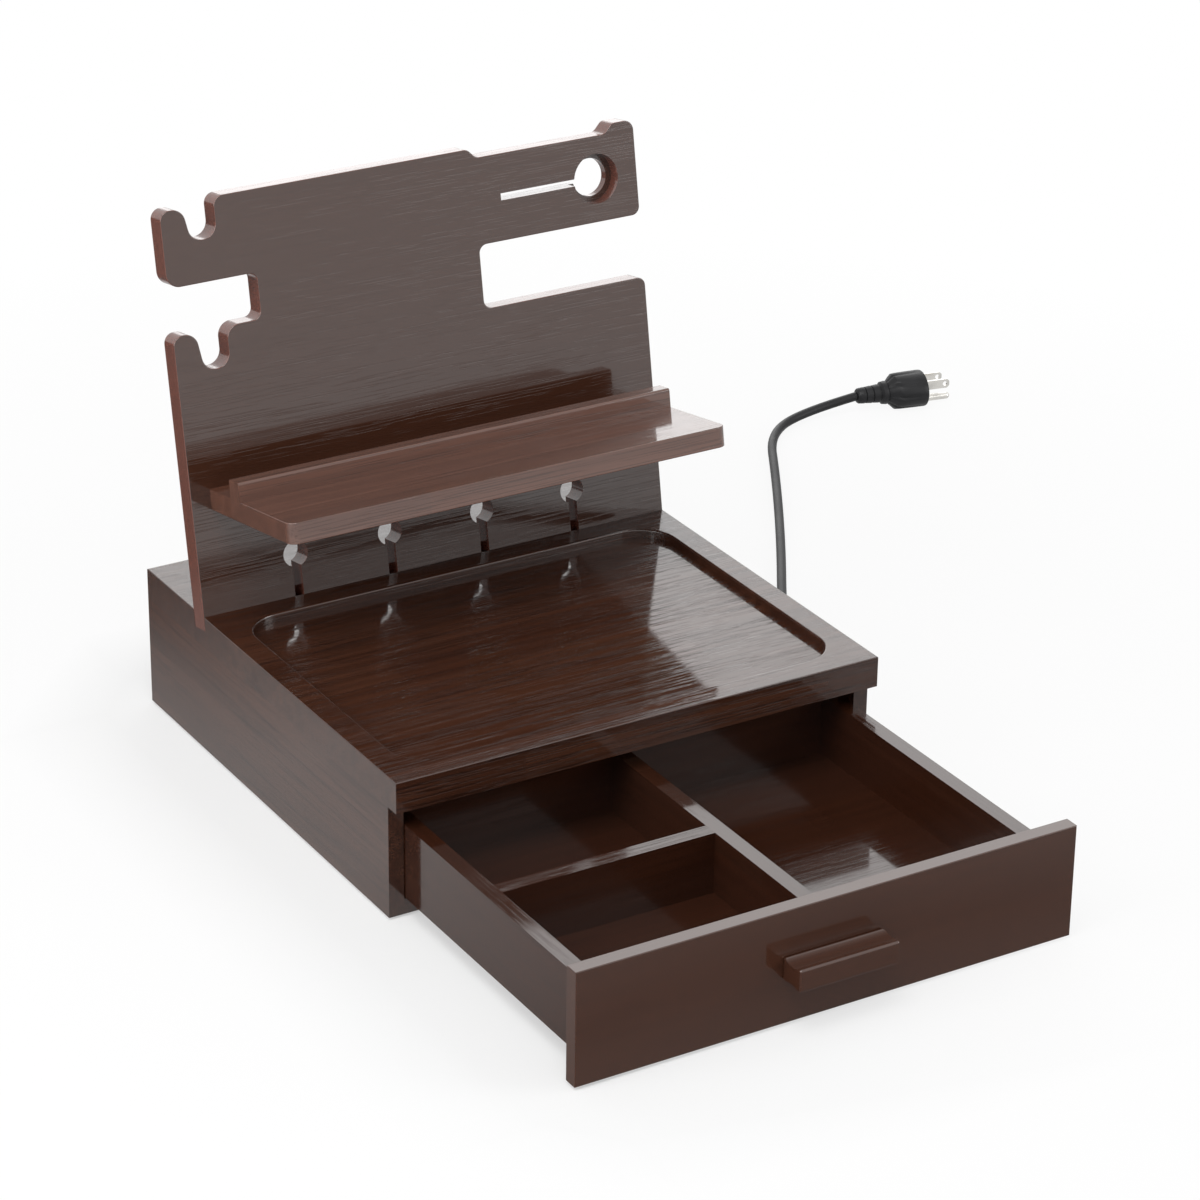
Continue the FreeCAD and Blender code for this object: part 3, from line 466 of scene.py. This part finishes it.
def needle_felt(fittings):
    """Felt sheet under the case."""
    material, tree = finish("needle_felt")
    fibre = tree.noise(tree.place(), 1900.0, 4.0, 0.7)
    tree.principled(
        Base_Color=tree.blend(fibre, colour(fittings.felt), colour(fittings.felt_fibre)),
        Roughness=0.95,
        Normal=tree.bump(fibre, 0.8, 0.4 * MM))
    return material


def circuit_green(fittings):
    """Solder mask with copper tracks under it."""
    material, tree = finish("circuit_green")
    tracks = tree.node("ShaderNodeTexBrick", None,
                       {"Vector": tree.place(), "Scale": 160.0, "Mortar Size": 0.03}, "Fac")
    tree.principled(
        Base_Color=tree.blend(tracks, colour(fittings.solder_mask), colour(fittings.tracks)),
        Roughness=0.32 + tracks * 0.1,
        Normal=tree.bump(tracks, 0.3, 0.1 * MM))
    return material


def pale_glowing_floor(studio):
    """Floor that a painted white glow makes white far from the box, shaded near it.

    Places are in metres from the middle of the case. To the camera the floor is a matt surface
    that takes the box's shadow, with a white glow mixed in: painted light, full on the box's
    right and far off, so that the real shadow shows only close to the box on its left. The
    lacquer mirrors another glow, a painted reflection, dimmer near the box and much dimmer
    behind its left, and the floor can't be seen from below.
    """
    material, tree = finish("pale_glowing_floor")
    place = tree.place()
    x, y = tree.part(place, "X"), tree.part(place, "Y")
    far = tree.rise(tree.vector_math("LENGTH", [place], "Value"), 0.4, 0.84)

    # Painted light: the camera's share of white glow, least close to the box on its left, full on
    # its right and far off.
    beside = (abs(x) - 0.15).at_least(0.0)
    before = (abs(y + 0.1) - 0.25).at_least(0.0)
    clear_of_box = tree.rise(beside + before, 0.03, 0.1)
    lit_side = tree.rise(x, -0.17, 0.17)
    glow_share = 0.42 + clear_of_box.at_least(lit_side) * 0.44
    matt = tree.node("ShaderNodeBsdfDiffuse", None, {"Color": colour(studio.floor)})
    camera_glow = (glow_share + far * (1.0 - glow_share)) * tree.ray("Camera")
    shown = tree.either(camera_glow, matt, tree.glow(WHITE))

    # Painted reflection: a glow that only the lacquer mirrors, dimmer in front of the box and
    # darkest behind its left.
    near = 0.2 + tree.rise(y, -0.38, -0.08) * 0.42
    left_rear = (1.0 - tree.rise(x, -0.2, -0.13)) * tree.rise(y, 0.05, 0.32)
    mirrored = (near + far * (1.0 - near)) * (1.0 - left_rear * 0.85)
    above = tree.either(tree.ray("Glossy"), shown, tree.glow(mirrored))
    from_below = tree.node("ShaderNodeNewGeometry", output="Backfacing")
    tree.surface(tree.either(from_below, above, tree.node("ShaderNodeBsdfTransparent")))
    return material


# ------------------------------------------------------------------ making pieces
def coat(names, material):
    """Give solids of the frame a finish."""
    for name in names:
        for slot in NODES[name].material_slots:
            slot.material = material


def ring_of(count, point):
    """Points round a ring, from a function of their angle."""
    return [point(2 * math.pi * i / count) for i in range(count)]


def loft(name, rings):
    """Closed mesh through rings of points, with a cap at each end."""
    work = bmesh.new()
    loops = [[work.verts.new(point) for point in ring] for ring in rings]
    count = len(loops[0])
    for low, high in zip(loops, loops[1:]):
        for i in range(count):
            after = (i + 1) % count
            work.faces.new((low[i], low[after], high[after], high[i]))
    work.faces.new(list(reversed(loops[0])))
    work.faces.new(loops[-1])
    bmesh.ops.recalc_face_normals(work, faces=work.faces)
    mesh = bpy.data.meshes.new(name)
    work.to_mesh(mesh)
    work.free()
    return mesh


def moulding(name, rings, material, sharp):
    """A moulded piece of the lead: smooth but for corners sharper than this, in degrees."""
    mesh = loft(name, rings)
    made = bpy.data.objects.new(name, mesh)
    bpy.context.scene.collection.objects.link(made)
    mesh.materials.append(material)
    for face in mesh.polygons:
        face.use_smooth = True
    mesh.set_sharp_from_angle(angle=math.radians(sharp))
    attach(made, "case")
    return made


# ------------------------------------------------------------------ operators
class VALET_OT_case(Operator):
    """Finish the case's boards, rails, pad and joinery"""
    bl_idname = "valet.case"
    bl_label = "Case"

    def execute(self, context):
        wood = context.scene.valet_wood
        fittings = context.scene.valet_fittings
        gloss = wood.lacquer_ior
        coat(GRAIN_ACROSS,
             lacquered_wood("lacquer_across", wood, wood.stain, "X", 1.0, 1.0, gloss))
        facing = (0.0, -math.cos(wood.board_lean), math.sin(wood.board_lean))
        coat(["upright_board"],
             lacquered_wood("lacquer_board", wood, wood.board_stain, "X", 0.15, 0.5, gloss, facing))
        coat(["device_shelf"],
             lacquered_wood("lacquer_shelf", wood, wood.shelf_stain, "X", 0.7, 0.4, gloss))
        coat(GRAIN_DEEP,
             lacquered_wood("lacquer_deep", wood, wood.stain, "Y", 0.9, 0.25, gloss))
        coat(BARE_PARTS, bare_wood("bare_rail", wood.rail, wood.rail_grain))
        coat(DOWELS, bare_wood("beech_dowel", wood.dowel, wood.dowel_grain))
        coat(["base_pad"], needle_felt(fittings))
        coat(["left_glide", "right_glide"], moulded_plastic("slick_strip", fittings.glide, 0.35))
        return {"FINISHED"}


class VALET_OT_drawer(Operator):
    """Finish the drawer, its dividers, handle and stop"""
    bl_idname = "valet.drawer"
    bl_label = "Drawer"

    def execute(self, context):
        wood = context.scene.valet_wood
        fittings = context.scene.valet_fittings
        coat(["drawer_front", "drawer_handle"],
             lacquered_wood("lacquer_front", wood, wood.stain, "X", 0.2, 0.1, wood.lacquer_ior))
        # The drawer's boards take the darker stain, which holds painted shade of the drawer's
        # inside.
        for name, names, along in (("drawer_across", DRAWER_ACROSS, "X"),
                                   ("drawer_deep", DRAWER_DEEP, "Y")):
            coat(names, lacquered_wood(name, wood, wood.drawer_stain_and_shade, along, 0.4, 0.3,
                                       wood.drawer_ior))
        coat(["stop_tab"], metal("satin_brass", fittings.brass, 0.32))
        coat(STEEL_PARTS, metal("plated_steel", fittings.steel, 0.3))
        return {"FINISHED"}


class VALET_OT_module(Operator):
    """Finish the rear charging module"""
    bl_idname = "valet.module"
    bl_label = "Charging module"

    def execute(self, context):
        fittings = context.scene.valet_fittings
        coat(["module_housing", "module_plate"],
             moulded_plastic("textured_black", fittings.housing, 0.5))
        coat(["outlet_1", "outlet_2"],
             moulded_plastic("smooth_black", fittings.sockets, 0.3, relief=0.02 * MM))
        coat(["usb_tongues"], moulded_plastic("port_blue", fittings.port, 0.35))
        coat(["circuit_board"], circuit_green(fittings))
        return {"FINISHED"}


class VALET_OT_lead(Operator):
    """Lay the power lead: gland, coil behind the case, and the run to the plug"""
    bl_idname = "valet.lead"
    bl_label = "Power lead"

    def execute(self, context):
        lead = context.scene.valet_lead
        jacket = flexible_jacket(lead.jacket)
        plug = self.plug(jacket)
        gland = self.gland(jacket)
        cord = self.cord(lead, jacket)
        coat(["plug_blades", "plug_ground_pin"],
             metal("plated_pins", context.scene.valet_fittings.pins, 0.2, (1.0, 1.0, 1.0)))
        return {"FINISHED"}

    def coil(self, lead):
        """Turns of the coil: three on the table, then one and a half on top of them.

        An upper turn lies in the groove between two lower ones. The last third of a turn leads
        over to the next, and the control points stand outside the turn that they draw.
        """
        gap, outer, count = lead.turn_gap, lead.outer_turn, lead.turn_points
        low = lead.diameter / 2 + 0.1 * MM
        high = lead.diameter / 2 + gap * math.sqrt(0.75)
        turns = [(outer, low), (outer - gap, low), (outer - 2 * gap, low),
                 (outer - 1.5 * gap, high), (outer - 0.5 * gap, high), (outer - 0.5 * gap, high)]
        swell = 1 / (0.75 + 0.25 * math.cos(2 * math.pi / count))
        centre = Vector((*COIL_CENTRE, 0)) * MM
        points = []
        for step in range(int(COIL_TURNS * count) + 1):
            turn, share = divmod(step / count, 1.0)
            over = max(0.0, share * 3.0 - 2.0)
            over = over * over * (3 - 2 * over)
            (r0, z0), (r1, z1) = turns[int(turn)], turns[int(turn) + 1]
            radius = (r0 + (r1 - r0) * over) * swell
            turned = math.pi / 2 + 2 * math.pi * step / count
            points.append(centre + Vector((radius * math.cos(turned), radius * math.sin(turned),
                                           z0 + (z1 - z0) * over)))
        return points

    def cord(self, lead, jacket):
        """The whole lead as one smooth curve."""
        points = [Vector(point) * MM for point in LEAD_IN]
        points += self.coil(lead)
        points += [Vector(point) * MM for point in LEAD_OUT]
        curve = bpy.data.curves.new("power_cord", "CURVE")
        curve.dimensions = "3D"
        curve.bevel_depth = lead.diameter / 2
        curve.bevel_resolution = 5
        curve.resolution_u = 8
        spline = curve.splines.new("NURBS")
        spline.points.add(len(points) - 1)
        for target, point in zip(spline.points, points):
            target.co = (*point, 1.0)
        spline.order_u = 3
        spline.use_endpoint_u = True
        curve.materials.append(jacket)
        made = bpy.data.objects.new("power_cord", curve)
        bpy.context.scene.collection.objects.link(made)
        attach(made, "case")
        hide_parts("power_cord_lead", "power_cord_coil", "power_cord_run")
        return made

    def gland(self, jacket):
        """Tapered strain relief with shallow rings, along +Y."""
        low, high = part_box("strain_relief")
        centre = (low + high) / 2
        flange = (high.x - low.x) / 2
        plate_in, plate_out = (corner.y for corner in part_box("module_plate"))
        profile = [(low.y, flange), (plate_in, flange), (plate_in, GLAND_COLLAR * MM),
                   (plate_out, GLAND_COLLAR * MM)]
        pitch = (high.y - plate_out) / GLAND_RINGS
        for ring in range(GLAND_RINGS):
            radius = GLAND_ROOT - GLAND_TAPER * ring / GLAND_RINGS
            profile += [(plate_out + pitch * (ring + share), (radius - step) * MM)
                        for share, step in GLAND_RING]
        profile.append((high.y, GLAND_MOUTH * MM))

        def point(y, radius, turned):
            return (centre.x + radius * math.cos(turned), y,
                    centre.z + radius * math.sin(turned))

        rings = [ring_of(48, lambda turned: point(y, radius, turned)) for y, radius in profile]
        made = moulding("ribbed_gland", rings, jacket, 40.0)
        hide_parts("strain_relief")
        return made

    def plug(self, jacket):
        """Moulded plug: ringed neck, collar and a fluted bell with a flat face."""
        start = Vector(LEAD_OUT[-1]) * MM
        before = Vector(LEAD_OUT[-2]) * MM
        way = Vector((start.x - before.x, start.y - before.y, 0)).normalized()
        aside = Vector((way.y, -way.x, 0))
        axis = start.xy.to_3d() + UP * PLUG_HEIGHT * MM
        profile = [(along, radius, 0.0) for along, radius in PLUG_END]
        for ring in range(PLUG_RINGS):
            profile += [(FIRST_RING + ring * RING_PITCH + along, radius + ring * RING_GROWTH, 0.0)
                        for along, radius in PLUG_RING]
        bell = self.face_distance(start, way) / MM - PLUG_BELL[-1][0]
        profile += [(bell + along, radius, flute) for along, radius, flute in PLUG_BELL]

        def point(along, radius, flute, turned):
            dip = max(0.0, math.cos(FLUTES * turned)) ** 3 * flute * FLUTE_DEPTH
            lowered = PLUG_HEIGHT / max(PLUG_HEIGHT, radius)
            reach = (radius - dip) * MM
            return (axis + way * along * MM + aside * reach * math.cos(turned)
                    + UP * reach * lowered * math.sin(turned))

        rings = [ring_of(96, lambda turned: point(*section, turned)) for section in profile]
        made = moulding("plug_moulding", rings, jacket, 35.0)
        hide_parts("plug_body")
        return made

    def face_distance(self, start, way):
        """How far along the plug its flat face lies: where the ground pin begins."""
        mesh = NODES["plug_ground_pin"].data
        return min((vertex.co - start).dot(way) for vertex in mesh.vertices)


class VALET_OT_studio(Operator):
    """Set the camera, the floor with its painted glow, the white surround and the soft lamps"""
    bl_idname = "valet.studio"
    bl_label = "Studio"

    def execute(self, context):
        scene = context.scene
        self.camera(scene)
        self.floor(scene)
        self.world(scene)
        for settings in LAMPS:
            self.lamp(scene, *settings)
        scene.view_settings.view_transform = "Standard"
        return {"FINISHED"}

    def camera(self, scene):
        studio = scene.valet_studio
        az, el = studio.azimuth, studio.elevation
        back = Vector((math.sin(az) * math.cos(el), -math.cos(az) * math.cos(el), math.sin(el)))
        turn = back.to_track_quat("Z", "Y").to_matrix().to_4x4()
        turn = turn @ Matrix.Rotation(studio.roll, 4, "Z")
        data = bpy.data.cameras.new("camera")
        data.lens = studio.focal_length
        data.sensor_width = 36.0
        data.shift_x, data.shift_y = studio.shift
        made = bpy.data.objects.new("camera", data)
        made.matrix_world = Matrix.Translation(Vector(studio.aim) + back * studio.distance) @ turn
        scene.collection.objects.link(made)
        scene.camera = made

    def floor(self, scene):
        reach = scene.valet_studio.floor_reach
        corners = [(-reach, -reach, 0), (reach, -reach, 0), (reach, reach, 0), (-reach, reach, 0)]
        mesh = bpy.data.meshes.new("floor")
        mesh.from_pydata(corners, [], [(0, 1, 2, 3)])
        made = bpy.data.objects.new("floor", mesh)
        scene.collection.objects.link(made)
        mesh.materials.append(pale_glowing_floor(scene.valet_studio))

    def world(self, scene):
        """A surround that is white where it is seen or mirrored, and dimmer as a light."""
        scene.world = bpy.data.worlds.new("studio")
        tree = ShaderTree(scene.world)
        seen = tree.ray("Camera").at_least(tree.ray("Glossy")).at_least(tree.ray("Transmission"))
        as_light = 0.55
        level = as_light + seen * (1.0 - as_light)
        background = tree.node("ShaderNodeBackground", None, {"Color": level, "Strength": 1.0})
        tree.node("ShaderNodeOutputWorld", None, {"Surface": background})

    def lamp(self, scene, name, place, target, size, watts):
        data = bpy.data.lights.new(name, "AREA")
        data.shape = "RECTANGLE"
        data.size, data.size_y = size
        data.energy = watts
        made = bpy.data.objects.new(name, data)
        turn = (Vector(place) - Vector(target)).to_track_quat("Z", "Y").to_matrix().to_4x4()
        made.matrix_world = Matrix.Translation(place) @ turn
        scene.collection.objects.link(made)


class VALET_PT_panel(Panel):
    """Buttons and settings of the valet box"""
    bl_idname = "VALET_PT_panel"
    bl_label = "Valet Box"
    bl_space_type = "VIEW_3D"
    bl_region_type = "UI"
    bl_category = "Valet Box"

    def draw(self, context):
        layout = self.layout
        for step in STEPS:
            layout.operator(step.bl_idname)
        for holder in GROUPS:
            group = getattr(context.scene, holder)
            box = layout.box()
            for name in group.bl_rna.properties.keys():
                if name not in ("rna_type", "name"):
                    box.prop(group, name)


GROUPS = {"valet_wood": ValetWood, "valet_fittings": ValetFittings, "valet_lead": ValetLead,
          "valet_studio": ValetStudio}
STEPS = (VALET_OT_studio, VALET_OT_lead, VALET_OT_case, VALET_OT_drawer, VALET_OT_module)


def register():
    for kind in (*GROUPS.values(), *STEPS, VALET_PT_panel):
        bpy.utils.register_class(kind)
    for name, group in GROUPS.items():
        setattr(bpy.types.Scene, name, PointerProperty(type=group))


def unregister():
    for name in GROUPS:
        delattr(bpy.types.Scene, name)
    for kind in (VALET_PT_panel, *reversed(STEPS), *reversed(list(GROUPS.values()))):
        bpy.utils.unregister_class(kind)


def main():
    """Dress the solids."""
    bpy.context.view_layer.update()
    register()
    for step in STEPS:
        group, name = step.bl_idname.split(".")
        getattr(getattr(bpy.ops, group), name)()


if __name__ == "__main__":
    main()
